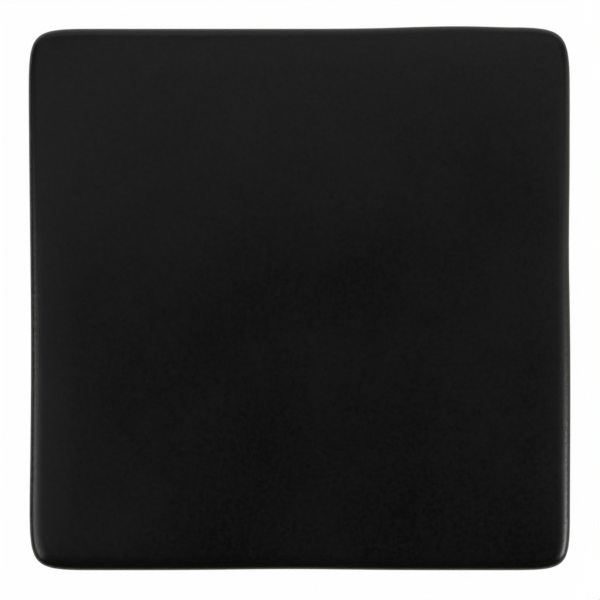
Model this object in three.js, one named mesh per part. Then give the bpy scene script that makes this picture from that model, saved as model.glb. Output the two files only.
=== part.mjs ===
// Square stoneware plate. A hand-cut slab with a sponged, rolled edge stands on a foot ring, which is luted
// under it with slip. A black glaze covers everything but the bare rim of the foot.
// Millimetres, +Z up. The origin is on the table under the middle of the plate, and +Y points to its back.
import * as THREE from "three";

// Driving dimensions: the slab and its edge.
const SIDE = 250; // width and depth over the glaze, before the sides' swells
const SLAB_THICKNESS = 7; // clay, in the flat middle
const CORNER_REACH = 28; // from a corner point to where its curve leaves each side
const LEAST_REACH = 0.5; // what is left of a corner's curve well inside the edge
const EDGE_FALL = 0.3; // how far the face sinks towards the rolled edge
const FALL_RUN = 15; // width of the band that sinks
const ROLL_WIDTH = 6; // the upper roll, from the widest line to the face, seen from above
const LOWER_ROLL = 4; // radius under the widest line

// Driving dimensions: the foot ring and its seam of slip.
const FOOT_SIDE = 176; // outer width of the ring where it meets the slip
const FOOT_WIDTH = 9; // across the ring's top
const FOOT_LEAN = 1.2; // how far each wall leans in by the table
const FOOT_CORNER = 20; // corner radius at the ring's centreline
const FOOT_ROUND = 1.2; // wiped lower edges
const FOOT_HEIGHT = 6; // from the table to the clay underside
const SLIP_THICKNESS = 0.5; // between the slab and the ring
const SLIP_FILLET = 1.6; // radius of the pressed seam

// Driving dimensions: the glaze.
const GLAZE = 0.5; // fired thickness
const BARE_HEIGHT = 2.2; // from the table to the glaze line on the foot

// Where a hand-cut side stands out from a straight line (by, hollow if negative) at a distance along it from
// its middle (at, towards the next corner going round from the front to the right), and over what half-width.
const SWELLS = {
  front: [{ at: -4, by: -0.5, over: 36 }],
  right: [
    { at: -42, by: 0.3, over: 50 },
    { at: 22, by: -0.4, over: 26 },
  ],
  back: [{ at: -73, by: 1.2, over: 32 }],
  left: [{ at: 25, by: -1.2, over: 85 }],
};

// From each corner point to its curve's handles, by the side that ends there going round: smaller is squarer.
const CORNER_PULLS = { front: 0.4, right: 1.8, back: 1.4, left: 1.5 };

// How finely the curves are drawn.
const SIDE_STEPS = 10;
const CORNER_STEPS = 9;
const LOWER_ROLL_STEPS = 4;
const UPPER_ROLL_STEPS = 6;
const FALL_STEPS = 4;
const FILLET_STEPS = 3;
const ROUND_STEPS = 2;

const CIRCLE_PULL = 1 - (4 / 3) * Math.tan(Math.PI / 8); // handle distance of a round corner of radius 1
const QUARTER = Math.PI / 2;

// Levels above the table.
const footTop = FOOT_HEIGHT - SLIP_THICKNESS;
const seamToe = FOOT_HEIGHT - SLIP_FILLET;
const widestLine = FOOT_HEIGHT + LOWER_ROLL;
const faceLevel = FOOT_HEIGHT + SLAB_THICKNESS;
const upperRollHeight = faceLevel - EDGE_FALL - widestLine;

const slabHalf = SIDE / 2 - GLAZE;
const footHalf = (FOOT_SIDE - FOOT_WIDTH) / 2;

// Evenly spaced values from start to end, both included.
function steps(start, end, count) {
  return Array.from({ length: count + 1 }, (_, i) => THREE.MathUtils.lerp(start, end, i / count));
}

function swell(side, along) {
  const bumps = SWELLS[side].map(({ at, by, over }) => by * Math.exp(-(((along - at) / over) ** 2)));
  return bumps.reduce((sum, bump) => sum + bump, 0);
}

// One closed ring, counter-clockwise from above: four sides joined by curved corners. Each side is drawn as
// the front one and turned into place. pull gives the handles of the corner that a side ends in, and bow how far
// the side stands out at a place along it.
function squareRing({ half, reach, pull, z, bow = () => 0 }) {
  const sides = Object.keys(SWELLS);
  const straight = half - reach;
  const points = sides.flatMap((side, turn) => {
    const next = sides[(turn + 1) % sides.length];
    const cut = steps(-straight, straight, SIDE_STEPS).map(
      (along) => new THREE.Vector2(along, -half - bow(side, along)),
    );
    const corner = new THREE.Vector2(half + bow(next, -straight), -half - bow(side, straight));
    const curve = new THREE.CubicBezierCurve(
      new THREE.Vector2(straight, corner.y),
      new THREE.Vector2(corner.x - pull(side), corner.y),
      new THREE.Vector2(corner.x, corner.y + pull(side)),
      new THREE.Vector2(corner.x, -straight),
    );
    const line = [...cut.slice(0, -1), ...curve.getPoints(CORNER_STEPS).slice(0, -1)];
    return line.map((point) => point.rotateAround(new THREE.Vector2(), turn * QUARTER));
  });
  return points.map(({ x, y }) => new THREE.Vector3(x, y, z));
}

// A ring of the slab, this far inside its cut edge. Its corners tighten inwards as true offsets do.
function cutRing(inset, z) {
  return squareRing({
    half: slabHalf - inset,
    reach: Math.max(CORNER_REACH - inset, LEAST_REACH),
    pull: (side) => Math.max(CORNER_PULLS[side] - CIRCLE_PULL * inset, 0),
    z,
    bow: swell,
  });
}

// The uneven sides put the middle of the cut edge a little off the middle of the square.
const cutMiddle = new THREE.Box3().setFromPoints(cutRing(0, 0)).getCenter(new THREE.Vector3());

function slabRing(inset, z) {
  return cutRing(inset, z).map((point) => point.sub(cutMiddle));
}

// A ring of the foot, this far outside its centreline.
function footRing(out, z) {
  const radius = FOOT_CORNER + out;
  return squareRing({ half: footHalf + out, reach: radius, pull: () => CIRCLE_PULL * radius, z });
}

// Half the foot's width at a height above the table.
function footReach(z) {
  return FOOT_WIDTH / 2 - FOOT_LEAN * (1 - z / footTop);
}

// The slab's edge, from the underside over the roll to the flat face, grown outwards by a coat.
function edgeRings(coat) {
  const lower = steps(QUARTER, 0, LOWER_ROLL_STEPS).map((angle) => {
    const inset = LOWER_ROLL - (LOWER_ROLL + coat) * Math.cos(angle);
    return slabRing(inset, widestLine - (LOWER_ROLL + coat) * Math.sin(angle));
  });
  const upper = steps(0, QUARTER, UPPER_ROLL_STEPS).map((angle) => {
    const inset = ROLL_WIDTH - (ROLL_WIDTH + coat) * Math.cos(angle);
    return slabRing(inset, widestLine + (upperRollHeight + coat) * Math.sin(angle));
  });
  const fall = steps(0, 1, FALL_STEPS).map((share) =>
    slabRing(ROLL_WIDTH + share * FALL_RUN, faceLevel + coat - EDGE_FALL * (1 - share) ** 2),
  );
  return [...lower, ...upper.slice(1), ...fall.slice(1)];
}

// One wall of the foot, from the table up. side is 1 for the outer wall and -1 for the inner one.
function footWall(side) {
  const land = footReach(FOOT_ROUND) - FOOT_ROUND;
  const round = steps(0, QUARTER, ROUND_STEPS).map((angle) =>
    footRing(side * (land + FOOT_ROUND * Math.sin(angle)), FOOT_ROUND * (1 - Math.cos(angle))),
  );
  const [line, toe, top] = [BARE_HEIGHT, seamToe, footTop].map((z) => footRing(side * footReach(z), z));
  return { round, line, toe, top };
}

// One side's fillet of the seam, from its toe on the foot to the underside, grown outwards by a coat.
function seamFillet(side, coat) {
  const centre = footReach(seamToe) + SLIP_FILLET;
  return steps(0, QUARTER, FILLET_STEPS).map((angle) => {
    const radius = SLIP_FILLET - coat;
    return footRing(side * (centre - radius * Math.cos(angle)), seamToe + radius * Math.sin(angle));
  });
}

// The free skin of a glaze where it begins on the foot: its edge thins out to the glaze line.
function glazeLip(side) {
  const z = BARE_HEIGHT + GLAZE;
  return footRing(side * (footReach(z) + GLAZE), z);
}

// Triangles of the band between two rings, facing out where the second ring lies above the first.
function band(first, second) {
  return first.flatMap((point, i) => {
    const j = (i + 1) % first.length;
    return [point, first[j], second[j], point, second[j], second[i]];
  });
}

function walls(rings) {
  return rings.slice(1).flatMap((ring, i) => band(rings[i], ring));
}

// Triangles of the flat face inside a ring, facing up.
function cap(ring) {
  return THREE.ShapeUtils.triangulateShape(ring, [])
    .flat()
    .map((i) => ring[i]);
}

// The three ways in which rings make a closed body: capped at both ends, joined end to start, or a coat of two
// skins that meet at its lip. Reversing a list of triangles turns them over.
function block(rings) {
  return [...cap(rings[0]).toReversed(), ...walls(rings), ...cap(rings.at(-1))];
}

function hoop(rings) {
  return walls([...rings, rings[0]]);
}

function coat(outer, inner) {
  const lining = [...walls(inner), ...cap(inner.at(-1))].toReversed();
  return [...walls(outer), ...cap(outer.at(-1)), ...lining, ...band(inner[0], outer[0])];
}

const stoneware = new THREE.MeshStandardMaterial({ color: 0x8c7a66, roughness: 0.9, metalness: 0 });
const driedSlip = new THREE.MeshStandardMaterial({ color: 0x7d6c59, roughness: 0.95, metalness: 0 });
const blackGlaze = new THREE.MeshStandardMaterial({ color: 0x191919, roughness: 0.42, metalness: 0 });

function piece(name, triangles, material) {
  const geometry = new THREE.BufferGeometry().setFromPoints(triangles);
  geometry.computeVertexNormals();
  const mesh = new THREE.Mesh(geometry, material);
  mesh.name = name;
  return mesh;
}

const slabEdge = edgeRings(0);
const [outerWall, innerWall] = [footWall(1), footWall(-1)];
const [outerSeam, innerSeam] = [seamFillet(1, 0), seamFillet(-1, 0)];

const claySlab = piece("clay_slab", block(slabEdge), stoneware);

const footSection = [
  ...[...outerWall.round, outerWall.line, outerWall.toe, outerWall.top],
  ...[innerWall.top, innerWall.toe, innerWall.line, ...innerWall.round.toReversed()],
];
const foot = piece("foot_ring", hoop(footSection), stoneware);

const slipSection = [...outerSeam, ...innerSeam.toReversed(), innerWall.top, outerWall.top];
const slip = piece("luting_slip", hoop(slipSection), driedSlip);

const faceSkin = [glazeLip(1), ...seamFillet(1, GLAZE), ...edgeRings(GLAZE)];
const faceLining = [outerWall.line, ...outerSeam, ...slabEdge];
const faceGlaze = piece("face_glaze", coat(faceSkin, faceLining), blackGlaze);

const wellSkin = [glazeLip(-1), ...seamFillet(-1, GLAZE)];
const wellLining = [innerWall.line, ...innerSeam];
const wellGlaze = piece("well_glaze", coat(wellLining, wellSkin), blackGlaze);

const plate = new THREE.Group();
plate.name = "square_plate";
plate.add(claySlab, foot, slip, faceGlaze, wellGlaze);

export default plate;
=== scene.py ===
"""Square stoneware plate with a satin black glaze, dressed round its CAD solids.
Metres, +Z up, +Y to the back."""

import math

import bmesh
import bpy
from mathutils import Matrix, Vector, noise


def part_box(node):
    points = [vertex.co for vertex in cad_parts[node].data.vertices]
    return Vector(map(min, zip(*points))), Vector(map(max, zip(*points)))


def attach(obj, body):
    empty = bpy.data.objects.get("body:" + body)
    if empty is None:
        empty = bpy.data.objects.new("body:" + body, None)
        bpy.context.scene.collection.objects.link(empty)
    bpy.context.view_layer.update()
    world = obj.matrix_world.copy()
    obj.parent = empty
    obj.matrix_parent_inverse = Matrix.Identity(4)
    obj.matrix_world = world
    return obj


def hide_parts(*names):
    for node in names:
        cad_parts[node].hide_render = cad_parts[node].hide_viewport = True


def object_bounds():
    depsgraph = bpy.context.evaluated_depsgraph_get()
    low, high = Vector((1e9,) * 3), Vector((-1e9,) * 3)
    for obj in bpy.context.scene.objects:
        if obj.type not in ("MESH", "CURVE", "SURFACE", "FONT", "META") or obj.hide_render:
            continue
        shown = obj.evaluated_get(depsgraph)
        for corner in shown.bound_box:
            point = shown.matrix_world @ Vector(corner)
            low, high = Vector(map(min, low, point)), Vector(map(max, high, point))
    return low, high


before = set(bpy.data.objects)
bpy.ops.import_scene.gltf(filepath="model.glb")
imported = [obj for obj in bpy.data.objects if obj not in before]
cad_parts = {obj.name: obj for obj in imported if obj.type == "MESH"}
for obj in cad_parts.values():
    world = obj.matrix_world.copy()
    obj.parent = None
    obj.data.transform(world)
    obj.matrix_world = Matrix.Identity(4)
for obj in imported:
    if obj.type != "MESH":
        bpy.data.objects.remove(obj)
cad_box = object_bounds()

MM = 0.001
HAIR = 0.001 * MM  # points closer than this are one point

# Levels and sizes that the CAD solids give.
slab_low, slab_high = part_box("clay_slab")
coat_low, coat_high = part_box("face_glaze")
FACE = coat_high.z
GLAZE = FACE - slab_high.z
UNDERSIDE = slab_low.z - GLAZE
GLAZE_LINE = coat_low.z
LEFT_SIDE = coat_low.x
SEAM_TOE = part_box("luting_slip")[0].z
SEAM_RADIUS = slab_low.z - SEAM_TOE
FOOT_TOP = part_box("foot_ring")[1].z
WIDEST = max((v.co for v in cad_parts["face_glaze"].data.vertices), key=lambda place: place.x).z

# Sizes of the glazed edge and the foot that the boxes don't give.
EDGE_FALL = 0.3 * MM  # how far the face sinks towards its edge
FALL_RUN = 15 * MM
EASE = 0.08 * MM  # keeps the faired edge inside the CAD box
FOOT_LEAN = 1.2 * MM
FOOT_ROUND = 1.2 * MM
LIP = 0.8 * MM  # height of the rounded end of the glaze above its line
COAT_WALL = 0.4 * GLAZE  # thinner than the room between a coat's skin and the clay

# How wide the upper roll is at each corner, seen from above: the sponge bore harder towards the front.
FRONT_LEFT_ROLL = 8.5 * MM
FRONT_RIGHT_ROLL = 7.3 * MM
BACK_LEFT_ROLL = 4.8 * MM
BACK_RIGHT_ROLL = 5.5 * MM
CORNER_TUCK = 0.22  # share of that width lost where a corner is sharpest
TUCK_POWER = 4  # how closely the loss keeps to the corners
WAVER = 0.4 * MM  # how far the sponge strayed
WAVER_SPAN = 14 * MM
ROLL_TOP = 86  # degrees up the roll, where it is as level as the face beside it

# The slow unevenness of a rolled slab: how deep, and from one hollow to the next.
SAG = 0.18 * MM
SAG_SPAN = 60 * MM

# How finely the lines and sections are drawn.
STEPS_BETWEEN_CORNERS = 4
FALL_STEPS = 6
UPPER_ROLL_STEPS = 14
LOWER_ROLL_STEPS = 8
SEAM_STEPS = 6
ROUND_STEPS = 5
LIP_STEPS = 5
GRID_SHARE = 0.85  # of the room inside a ring, for the square grid in its middle

FRONT_LEFT = math.radians(225)  # where round the plate every ring starts


# Lines and rings

def cad_ring(name, height, side=1):
    """Corner points of a CAD solid at a height, on its outer wall or its inner one (-1), in order round
    the plate from its front left corner."""
    solid = bmesh.new()
    solid.from_mesh(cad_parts[name].data)
    bmesh.ops.remove_doubles(solid, verts=solid.verts, dist=HAIR)
    solid.normal_update()
    level = [v for v in solid.verts if abs(v.co.z - height) < HAIR]
    ring = [v.co.copy() for v in level if side * v.normal.xy.dot(v.co.xy) > 0]
    solid.free()
    return sorted(ring, key=lambda corner: (math.atan2(corner.y, corner.x) - FRONT_LEFT) % math.tau)


def fair_line(corners):
    """A smooth closed line through corner points: pairs of a point and the way out of the plate there."""
    curve = bpy.data.curves.new("fair_line", "CURVE")
    curve.dimensions = "3D"
    curve.resolution_u = STEPS_BETWEEN_CORNERS
    spline = curve.splines.new("BEZIER")
    spline.use_cyclic_u = True
    spline.bezier_points.add(len(corners) - 1)
    for knot, corner in zip(spline.bezier_points, corners):
        knot.co = corner
        knot.handle_left_type = knot.handle_right_type = "AUTO"
    wire = bpy.data.meshes.new_from_object(bpy.data.objects.new("fair_line", curve))
    points = [v.co.copy() for v in wire.vertices]
    bpy.data.curves.remove(curve)
    bpy.data.meshes.remove(wire)
    neighbours = zip(points[-1:] + points[:-1], points[1:] + points[:1])
    ways_out = [
        Vector((after.y - before.y, before.x - after.x, 0)).normalized()
        for before, after in neighbours
    ]
    return list(zip(points, ways_out))


def roll_width(place):
    """Width of the upper roll at a place on the edge: blended between the corners, with the hand's waver,
    and narrower round each corner."""
    low, high = cad_box
    across = (place.x - low.x) / (high.x - low.x)
    behind = (place.y - low.y) / (high.y - low.y)
    front = FRONT_LEFT_ROLL + (FRONT_RIGHT_ROLL - FRONT_LEFT_ROLL) * across
    back = BACK_LEFT_ROLL + (BACK_RIGHT_ROLL - BACK_LEFT_ROLL) * across
    width = front + (back - front) * behind + WAVER * noise.noise(place / WAVER_SPAN)
    cornered = abs(place.x * place.y) / (high.x * high.y)
    return width * (1 - CORNER_TUCK * cornered**TUCK_POWER)


def ring_at(line, inset, height, share=0):
    """Places along a line, moved in by an inset and a share of the roll's width, and set at a height."""
    moved = [point - out * (inset + share * roll_width(point)) for point, out in line]
    return [Vector((place.x, place.y, height)) for place in moved]


def drawn_in(places, run, height):
    """Places drawn in evenly towards the middle of the plate by a run, and set at a height."""
    share = 1 - run / max(place.x for place in places)
    return [Vector((place.x * share, place.y * share, height)) for place in places]


def rim(ring):
    """The edges of a closed ring of vertices."""
    pairs = zip(ring, ring[1:] + ring[:1])
    return [next(edge for edge in a.link_edges if b in edge.verts) for a, b in pairs]


def start_ring(bm, places):
    """A closed ring of vertices at the places."""
    ring = bmesh.ops.create_circle(bm, segments=len(places), radius=1)["verts"]
    for vertex, place in zip(ring, places):
        vertex.co = place
    return ring


def extrude_ring(bm, ring, places):
    """Extrudes a ring and puts the new one at the places, in the same order."""
    made = set(bmesh.ops.extrude_edge_only(bm, edges=rim(ring))["geom"])
    new_ring = [
        next(edge.other_vert(vertex) for edge in vertex.link_edges if edge.other_vert(vertex) in made)
        for vertex in ring
    ]
    for vertex, place in zip(new_ring, places):
        vertex.co = place
    return new_ring


def skin(bm, stations):
    """A skin through a row of rings of places. Gives its first and last ring of vertices."""
    first = ring = start_ring(bm, stations[0])
    for places in stations[1:]:
        ring = extrude_ring(bm, ring, places)
    return first, ring


def fill_middle(bm, ring):
    """Fills a ring with a square grid, as finely divided as a quarter of the ring and joined to it by a
    flat band. The grid is joined from a step above, where both borders run the same way round, and then
    set level."""
    segments = len(ring) // 4
    half = GRID_SHARE * min(max(abs(v.co.x), abs(v.co.y)) for v in ring)
    above = Matrix.Translation((0, 0, ring[0].co.z + half))
    made = bmesh.ops.create_grid(bm, x_segments=segments, y_segments=segments, size=half, matrix=above)
    grid = made["verts"]
    border = {edge for vertex in grid for edge in vertex.link_edges if edge.is_boundary}
    bmesh.ops.bridge_loops(bm, edges=list(border) + rim(ring))
    for vertex in grid:
        vertex.co.z = ring[0].co.z


# Sections, from the face down

def arc_angles(start, end, steps):
    """Evenly spaced angles along an arc, in radians, from a start and an end in degrees."""
    return [math.radians(start + (end - start) * i / steps) for i in range(steps + 1)]


def fall_section():
    """How the face sinks towards its edge, from the flat middle outwards: pairs of a run and a height."""
    shares = [i / FALL_STEPS for i in range(FALL_STEPS, 0, -1)]
    return [(share * FALL_RUN, FACE - EDGE_FALL * (1 - share) ** 2) for share in shares]


def upper_roll_section():
    """The upper roll, from just short of its top to the widest line: pairs of a share of its width and
    a height."""
    rise = FACE - EDGE_FALL - WIDEST
    angles = arc_angles(ROLL_TOP, 0, UPPER_ROLL_STEPS)
    return [(1 - math.cos(angle), WIDEST + rise * math.sin(angle)) for angle in angles]


def lower_roll_section():
    """The lower roll, from under the widest line to the underside: pairs of an inset and a height."""
    drop = WIDEST - UNDERSIDE
    angles = arc_angles(0, 90, LOWER_ROLL_STEPS)[1:]
    return [(EASE + drop * (1 - math.cos(angle)), WIDEST - drop * math.sin(angle)) for angle in angles]


def lean(height):
    """How far the foot's wall has leaned in from its top edge at a height."""
    return FOOT_LEAN * (1 - height / FOOT_TOP)


def seam_section():
    """The glaze over the slip seam and down the foot's wall, ending in a rounded lip on the glaze line:
    pairs of an inset from the foot's top edge and a height."""
    centre = lean(SEAM_TOE) - SEAM_RADIUS
    hollow = SEAM_RADIUS - GLAZE
    fillet = [
        (centre + hollow * math.cos(angle), SEAM_TOE + hollow * math.sin(angle))
        for angle in arc_angles(90, 0, SEAM_STEPS)
    ]
    lip = [
        (lean(GLAZE_LINE) - GLAZE * math.cos(angle), GLAZE_LINE + LIP * (1 - math.sin(angle)))
        for angle in arc_angles(0, 90, LIP_STEPS)
    ]
    return fillet + lip


def foot_section():
    """One wall of the bare foot, from under the slip to the flat rim that stands on the table: pairs of an
    inset from the foot's top edge and a height."""
    wall = [(lean(height), height) for height in (FOOT_TOP, SEAM_TOE, GLAZE_LINE)]
    centre = lean(FOOT_ROUND) + FOOT_ROUND
    rounding = [
        (centre - FOOT_ROUND * math.cos(angle), FOOT_ROUND * (1 - math.sin(angle)))
        for angle in arc_angles(0, 90, ROUND_STEPS)
    ]
    return wall + rounding


# Materials

# Patterns of the glaze.
CLOUD = 60 * MM  # from one cloud in the sheen to the next
CLOUD_SHARE = 0.6  # how much the clouds count in its tone, against 1 for the grain
GRAIN = 1.4 * MM  # its crystals are too fine to show in the render, so they are drawn as coarse as this
GRAIN_DEPTH = 0.02 * MM
RIPPLE = 2.4 * MM  # from one ripple to the next where the coat ran over the roll
RIPPLE_DEPTH = 0.12 * MM
LEFT_RIPPLE_DEPTH = 0.21 * MM  # the coat ran less evenly over the left side
LEFT_BAND = 10 * MM  # how far in from the left side that depth holds
LEFT_FADE = 15 * MM  # over what width it then fades
THIN = 2 * MM  # below the face, where the coat has run thin
BREAK = 2 * MM  # above and below the widest line, where the thin coat breaks to olive

# Patterns of the clay.
GROG = 2 * MM  # from one grain of grog to the next
GROG_DEPTH = 0.15 * MM
IRON = 3 * MM  # from one iron speck to the next
SPECK = 0.27 * MM  # radius of a speck's dark middle
SPECK_EDGE = 0.48 * MM  # radius at which it has faded out
FLASH = 0.9 * MM  # height of the toasted band under the glaze line

DEEP_BLACK = "#030303"
CLOUDED_BLACK = "#0c0c0c"
THIN_BLACK = "#090904"
BREAK_OLIVE = "#323208"
BUFF_CLAY = "#86745f"
TOASTED_CLAY = "#6d4c33"
DULL_SLIP = "#7d6c59"
TOASTED_SLIP = "#6d5a46"
PALE_GROG = "#a3927d"
DARK_IRON = "#3a2d24"


def linear(colour):
    """An sRGB hex colour as linear RGBA."""
    parts = [int(colour[i : i + 2], 16) / 255 for i in (1, 3, 5)]
    return [c / 12.92 if c <= 0.04045 else ((c + 0.055) / 1.055) ** 2.4 for c in parts] + [1]


def add_node(tree, kind, inputs=None, **settings):
    """Adds a node with its settings, and sets or links its inputs."""
    node = tree.nodes.new(kind)
    for name, value in settings.items():
        setattr(node, name, value)
    for name, value in (inputs or {}).items():
        if isinstance(value, bpy.types.NodeSocket):
            tree.links.new(value, node.inputs[name])
        else:
            node.inputs[name].default_value = value
    return node


def new_material(name):
    """A new material, with its node tree and its shader."""
    material = bpy.data.materials.new(name)
    material.use_nodes = True
    return material, material.node_tree, material.node_tree.nodes["Principled BSDF"]


def glaze_colour(tree, height, clouds, grain, thin):
    """Almost black, mottled by the clouds and the grain, a trace warmer where it is thin, and olive where
    it breaks over the widest line."""
    tone = add_node(tree, "ShaderNodeMath", {0: clouds, 1: CLOUD_SHARE, 2: grain}, operation="MULTIPLY_ADD")
    depth = add_node(
        tree,
        "ShaderNodeMapRange",
        {"Value": tone.outputs["Value"], "From Min": 0.6, "From Max": 1},
    )
    body = add_node(
        tree,
        "ShaderNodeMix",
        {"Factor": depth.outputs["Result"], "A": linear(DEEP_BLACK), "B": linear(CLOUDED_BLACK)},
        data_type="RGBA",
    )
    rolled = add_node(
        tree,
        "ShaderNodeMix",
        {"Factor": thin, "A": body.outputs["Result"], "B": linear(THIN_BLACK)},
        data_type="RGBA",
    )
    above = add_node(tree, "ShaderNodeMath", {0: height, 1: WIDEST}, operation="SUBTRACT")
    away = add_node(tree, "ShaderNodeMath", {0: above.outputs["Value"]}, operation="ABSOLUTE")
    broken = add_node(
        tree,
        "ShaderNodeMapRange",
        {"Value": away.outputs["Value"], "From Max": BREAK, "To Min": 1, "To Max": 0},
        interpolation_type="SMOOTHSTEP",
    )
    colour = add_node(
        tree,
        "ShaderNodeMix",
        {"Factor": broken.outputs["Result"], "A": rolled.outputs["Result"], "B": linear(BREAK_OLIVE)},
        data_type="RGBA",
    )
    return colour.outputs["Result"]


def glaze_relief(tree, place, across, grain, thin):
    """The grain all over, and ripples where the coat ran thin over the roll, deeper on the left side."""
    ripple = add_node(tree, "ShaderNodeTexNoise", {"Vector": place, "Scale": 1 / RIPPLE, "Detail": 2})
    depth = add_node(
        tree,
        "ShaderNodeMapRange",
        {
            "Value": across,
            "From Min": LEFT_SIDE + LEFT_BAND,
            "From Max": LEFT_SIDE + LEFT_BAND + LEFT_FADE,
            "To Min": LEFT_RIPPLE_DEPTH,
            "To Max": RIPPLE_DEPTH,
        },
    )
    fine = add_node(tree, "ShaderNodeBump", {"Height": grain, "Strength": 0.25, "Distance": GRAIN_DEPTH})
    relief = add_node(
        tree,
        "ShaderNodeBump",
        {
            "Height": ripple.outputs["Fac"],
            "Strength": thin,
            "Distance": depth.outputs["Result"],
            "Normal": fine.outputs["Normal"],
        },
    )
    return relief.outputs["Normal"]


def satin_black_glaze():
    """Iron-black stoneware glaze, poured and fired to a satin: almost no colour of its own, a soft sheen
    that clouds slowly over the face, a fine crystal grain, and a trace of olive where it runs thin over
    the edge."""
    material, tree, shader = new_material("satin_black_glaze")
    place = add_node(tree, "ShaderNodeTexCoord").outputs["Object"]
    apart = add_node(tree, "ShaderNodeSeparateXYZ", {"Vector": place})
    across = apart.outputs["X"]
    height = apart.outputs["Z"]
    clouds = add_node(
        tree,
        "ShaderNodeTexNoise",
        {"Vector": place, "Scale": 1 / CLOUD, "Detail": 4, "Roughness": 0.55},
    ).outputs["Fac"]
    grain = add_node(
        tree,
        "ShaderNodeTexNoise",
        {"Vector": place, "Scale": 1 / GRAIN, "Detail": 2},
    ).outputs["Fac"]
    thin = add_node(
        tree,
        "ShaderNodeMapRange",
        {"Value": height, "From Min": FACE - EDGE_FALL, "From Max": FACE - THIN},
        interpolation_type="SMOOTHSTEP",
    ).outputs["Result"]
    sheen = add_node(
        tree,
        "ShaderNodeMapRange",
        {"Value": clouds, "From Min": 0.3, "From Max": 0.7, "To Min": 0.27, "To Max": 0.3},
    )
    tree.links.new(glaze_colour(tree, height, clouds, grain, thin), shader.inputs["Base Color"])
    tree.links.new(sheen.outputs["Result"], shader.inputs["Roughness"])
    tree.links.new(glaze_relief(tree, place, across, grain, thin), shader.inputs["Normal"])
    shader.inputs["IOR"].default_value = 1.5
    return material


def bare_stoneware(name, body, toasted):
    """Unglazed fired clay, wiped with a wet sponge: dry and matt, buff with dark iron specks and pale grog,
    and toasted to a warmer tone in the last millimetre under the glaze line."""
    material, tree, shader = new_material(name)
    place = add_node(tree, "ShaderNodeTexCoord").outputs["Object"]
    height = add_node(tree, "ShaderNodeSeparateXYZ", {"Vector": place}).outputs["Z"]
    grog = add_node(tree, "ShaderNodeTexNoise", {"Vector": place, "Scale": 1 / GROG, "Detail": 5})
    iron = add_node(tree, "ShaderNodeTexVoronoi", {"Vector": place, "Scale": 1 / IRON})
    speck = add_node(
        tree,
        "ShaderNodeMapRange",
        {
            "Value": iron.outputs["Distance"],
            "From Min": SPECK / IRON,
            "From Max": SPECK_EDGE / IRON,
            "To Min": 1,
            "To Max": 0,
        },
    )
    flash = add_node(
        tree,
        "ShaderNodeMapRange",
        {"Value": height, "From Min": GLAZE_LINE - FLASH, "From Max": GLAZE_LINE},
        interpolation_type="SMOOTHSTEP",
    )
    mottled = add_node(
        tree,
        "ShaderNodeMix",
        {"Factor": grog.outputs["Fac"], "A": linear(body), "B": linear(PALE_GROG)},
        data_type="RGBA",
    )
    warmed = add_node(
        tree,
        "ShaderNodeMix",
        {"Factor": flash.outputs["Result"], "A": mottled.outputs["Result"], "B": linear(toasted)},
        data_type="RGBA",
    )
    specked = add_node(
        tree,
        "ShaderNodeMix",
        {"Factor": speck.outputs["Result"], "A": warmed.outputs["Result"], "B": linear(DARK_IRON)},
        data_type="RGBA",
    )
    bump = add_node(
        tree,
        "ShaderNodeBump",
        {"Height": grog.outputs["Fac"], "Strength": 0.5, "Distance": GROG_DEPTH},
    )
    tree.links.new(specked.outputs["Result"], shader.inputs["Base Color"])
    tree.links.new(bump.outputs["Normal"], shader.inputs["Normal"])
    shader.inputs["Roughness"].default_value = 0.88
    return material


# Pieces

def new_piece(name, bm, material, node):
    """Makes an object of a finished mesh, in place of a CAD node."""
    bmesh.ops.recalc_face_normals(bm, faces=bm.faces)
    mesh = bpy.data.meshes.new(name)
    bm.to_mesh(mesh)
    bm.free()
    mesh.shade_smooth()
    mesh.materials.append(material)
    piece = bpy.data.objects.new(name, mesh)
    bpy.context.scene.collection.objects.link(piece)
    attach(piece, "root")
    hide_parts(node)
    return piece


def thicken(piece, offset):
    """Gives a coat its wall on the clay's side of its skin: an offset of -1 where the skin's faces look
    away from the clay, and 1 where they look into it."""
    wall = piece.modifiers.new("fired_thickness", "SOLIDIFY")
    wall.thickness = COAT_WALL
    wall.offset = offset
    wall.use_even_offset = True


def sag(bm):
    """Lets the face lie a little unevenly, fading out down the upper roll."""
    for vertex in bm.verts:
        share = min(max((vertex.co.z - WIDEST) / (FACE - EDGE_FALL - WIDEST), 0), 1)
        vertex.co.z -= SAG * share * (0.5 + 0.5 * noise.noise(vertex.co / SAG_SPAN))


def face_coat(edge_line, foot_line, glaze):
    """The glaze over the face, the rolled edge, the outer underside and the foot's outer wall."""
    bm = bmesh.new()
    upper = [ring_at(edge_line, EASE, height, share) for share, height in upper_roll_section()]
    lower = [ring_at(edge_line, inset, height) for inset, height in lower_roll_section()]
    fall = [drawn_in(upper[0], run, height) for run, height in fall_section()]
    seam = [ring_at(foot_line, inset, height) for inset, height in seam_section()]
    face_ring, _ = skin(bm, fall + upper + lower + seam)
    fill_middle(bm, face_ring)
    sag(bm)
    piece = new_piece("black_face_glaze", bm, glaze, "face_glaze")
    thicken(piece, -1)


def well_coat(foot_line, foot_width, glaze):
    """The glaze inside the foot ring."""
    bm = bmesh.new()
    seam = [ring_at(foot_line, foot_width - inset, height) for inset, height in seam_section()]
    seam_ring, _ = skin(bm, seam)
    fill_middle(bm, seam_ring)
    piece = new_piece("black_well_glaze", bm, glaze, "well_glaze")
    thicken(piece, 1)


def bare_foot(foot_line, foot_width, clay):
    """The foot ring, closed all round its section."""
    bm = bmesh.new()
    outer = foot_section()
    inner = [(foot_width - inset, height) for inset, height in reversed(outer)]
    first, last = skin(bm, [ring_at(foot_line, inset, height) for inset, height in outer + inner])
    bmesh.ops.bridge_loops(bm, edges=rim(last) + rim(first))
    new_piece("bare_foot_ring", bm, clay, "foot_ring")


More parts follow.
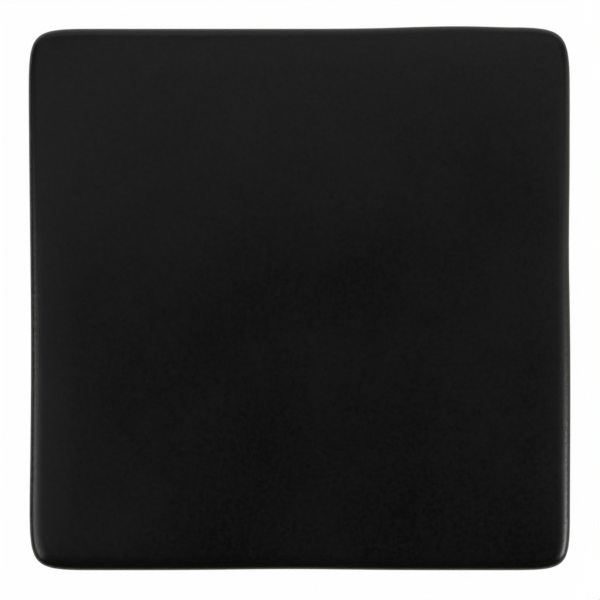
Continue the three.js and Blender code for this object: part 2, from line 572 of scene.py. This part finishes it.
def dress(name, material):
    """Gives a CAD node that stays its material."""
    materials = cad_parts[name].data.materials
    materials.clear()
    materials.append(material)


edge_line = fair_line(cad_ring("face_glaze", WIDEST))
foot_corners = cad_ring("foot_ring", FOOT_TOP)
foot_width = max(p.x for p in foot_corners) - max(p.x for p in cad_ring("foot_ring", FOOT_TOP, -1))
foot_line = fair_line(foot_corners)

black_glaze = satin_black_glaze()
stoneware = bare_stoneware("bare_stoneware", BUFF_CLAY, TOASTED_CLAY)
slip = bare_stoneware("dried_slip", DULL_SLIP, TOASTED_SLIP)

face_coat(edge_line, foot_line, black_glaze)
well_coat(foot_line, foot_width, black_glaze)
bare_foot(foot_line, foot_width, stoneware)
dress("clay_slab", stoneware)
dress("luting_slip", slip)


# Stage, light and camera

PICTURE = 600  # pixels across the photograph
PLATE_WIDTH = 542.2  # pixels
PLATE_MIDDLE = (299.55, 298.25)  # pixels from the picture's top left corner
LENS = 135  # mm
SENSOR = 36  # mm

# The white table, in metres.
TABLE_REACH = 4
SWEEP = 0.6  # radius and height of its turned-up rim
SWEEP_STEPS = 8
TABLE_SEGMENTS = 64
TABLE_GAP = 0.02 * MM  # keeps the table's face apart from the foot's
PLAIN_SHARE = 0.97  # of the table's look that is plain white; the rest holds the plate's shadow

WHITE = "#ffffff"
TABLE_PAINT = "#f0f0ee"
ROOM_LIGHT = 0.025


def white_table():
    """Matt white paint. It shows as white to the eye and in reflections, keeps a trace of the plate's
    shadow, and is clear from below, so that the foot can be seen."""
    material, tree, shader = new_material("white_table")
    shader.inputs["Base Color"].default_value = linear(TABLE_PAINT)
    shader.inputs["Roughness"].default_value = 0.9
    white = add_node(tree, "ShaderNodeEmission", {"Color": linear(WHITE), "Strength": 1})
    seen = add_node(tree, "ShaderNodeLightPath")
    mirrored = add_node(
        tree,
        "ShaderNodeMath",
        {0: seen.outputs["Is Glossy Ray"], 1: seen.outputs["Is Transmission Ray"]},
        operation="ADD",
    )
    direct = add_node(
        tree,
        "ShaderNodeMath",
        {0: seen.outputs["Is Camera Ray"], 1: mirrored.outputs["Value"]},
        operation="ADD",
    )
    share = add_node(
        tree,
        "ShaderNodeMath",
        {0: direct.outputs["Value"], 1: PLAIN_SHARE},
        operation="MULTIPLY",
    )
    lit = add_node(
        tree,
        "ShaderNodeMixShader",
        {"Fac": share.outputs["Value"], 1: shader.outputs["BSDF"], 2: white.outputs["Emission"]},
    )
    below = add_node(tree, "ShaderNodeNewGeometry").outputs["Backfacing"]
    clear = add_node(tree, "ShaderNodeBsdfTransparent")
    sided = add_node(
        tree,
        "ShaderNodeMixShader",
        {"Fac": below, 1: lit.outputs["Shader"], 2: clear.outputs["BSDF"]},
    )
    tree.links.new(sided.outputs["Shader"], tree.nodes["Material Output"].inputs["Surface"])
    return material


def circle(reach, height):
    """Places round the plate, this far from its middle."""
    angles = [math.tau * i / TABLE_SEGMENTS for i in range(TABLE_SEGMENTS)]
    return [Vector((reach * math.cos(angle), reach * math.sin(angle), height)) for angle in angles]


def pale_floor():
    """A white table that sweeps up far from the plate."""
    bm = bmesh.new()
    sweep = [
        (TABLE_REACH + SWEEP * math.sin(angle), SWEEP * (1 - math.cos(angle)) - TABLE_GAP)
        for angle in arc_angles(90, 0, SWEEP_STEPS)
    ]
    _, table_ring = skin(bm, [circle(reach, height) for reach, height in sweep])
    bmesh.ops.contextual_create(bm, geom=rim(table_ring))
    bmesh.ops.recalc_face_normals(bm, faces=bm.faces)
    bmesh.ops.reverse_faces(bm, faces=bm.faces)
    mesh = bpy.data.meshes.new("table")
    bm.to_mesh(mesh)
    bm.free()
    mesh.shade_smooth()
    mesh.materials.append(white_table())
    floor = bpy.data.objects.new("table", mesh)
    floor.visible_shadow = False  # lets the lamp below light the foot
    bpy.context.scene.collection.objects.link(floor)


def softbox(name, bearing, elevation, width, height, brightness, distance=1.0):
    """A flat lamp facing the plate from a bearing (degrees from the right, anticlockwise) and an elevation.
    A brightness of 1 is that of white paper in plain light."""
    around = math.radians(bearing)
    above = math.radians(elevation)
    way = Vector((math.cos(above) * math.cos(around), math.cos(above) * math.sin(around), math.sin(above)))
    lamp = bpy.data.lights.new(name, "AREA")
    lamp.shape = "RECTANGLE"
    lamp.size = width
    lamp.size_y = height
    lamp.energy = brightness * math.pi * width * height
    box = bpy.data.objects.new(name, lamp)
    box.location = way * distance
    box.rotation_euler = way.to_track_quat("Z", "Y").to_euler()
    box.visible_camera = False
    bpy.context.scene.collection.objects.link(box)
    return box


def fill_lamp(name, elevation):
    """A broad lamp that lights the clay and the table, and doesn't show in the glaze."""
    lamp = softbox(name, bearing=0, elevation=elevation, width=2, height=2, brightness=1.4, distance=1.6)
    lamp.visible_glossy = False


def camera():
    """Looks straight down, with the plate as large and as placed as in the photograph."""
    low, high = cad_box
    pixel = (high.x - low.x) / PLATE_WIDTH
    lens = bpy.data.cameras.new("camera")
    lens.lens = LENS
    lens.sensor_width = SENSOR
    eye = bpy.data.objects.new("camera", lens)
    distance = pixel * PICTURE * LENS / SENSOR
    aside = (PICTURE / 2 - PLATE_MIDDLE[0]) * pixel
    ahead = (PLATE_MIDDLE[1] - PICTURE / 2) * pixel
    eye.location = (aside, ahead, WIDEST + distance)
    bpy.context.scene.collection.objects.link(eye)
    bpy.context.scene.camera = eye


def dim_room():
    """A nearly dark room round the lamps and the table."""
    world = bpy.data.worlds.new("studio")
    world.use_nodes = True
    background = world.node_tree.nodes["Background"]
    background.inputs["Color"].default_value = linear(WHITE)
    background.inputs["Strength"].default_value = ROOM_LIGHT
    bpy.context.scene.world = world


pale_floor()

# A softbox on each side makes the highlight on that roll, and dimmer cards shade it off towards the face.
softbox("right_softbox", bearing=338, elevation=30, width=0.34, height=0.28, brightness=9.7)
softbox("right_upper_card", bearing=352, elevation=42, width=0.3, height=0.24, brightness=1.2)
softbox("right_card", bearing=0, elevation=20, width=0.6, height=0.45, brightness=0.65)
softbox("right_panel", bearing=6, elevation=60, width=0.4, height=0.4, brightness=0.33)
softbox("left_softbox", bearing=202, elevation=36, width=0.5, height=0.26, brightness=3.1)
softbox("left_upper_card", bearing=203, elevation=50, width=0.5, height=0.24, brightness=0.9)
softbox("left_card", bearing=181, elevation=33, width=0.2, height=0.3, brightness=1.1)
softbox("left_panel", bearing=205, elevation=67, width=0.35, height=0.3, brightness=0.3)

# Behind the plate, from the wall up to overhead: these show in the back roll and in the face's grey sheen.
softbox("back_wall", bearing=90, elevation=18, width=3.4, height=0.7, brightness=0.61, distance=1.2)
softbox("back_card", bearing=101, elevation=42, width=0.34, height=0.22, brightness=0.52, distance=1.1)
softbox("canopy", bearing=90, elevation=51, width=2.4, height=0.65, brightness=0.3, distance=1.1)
softbox("top_strip", bearing=105, elevation=76, width=1.3, height=0.25, brightness=0.37, distance=1.1)

fill_lamp("overhead_fill", 90)
fill_lamp("under_fill", -90)
camera()
dim_room()
bpy.context.scene.view_settings.view_transform = "Standard"
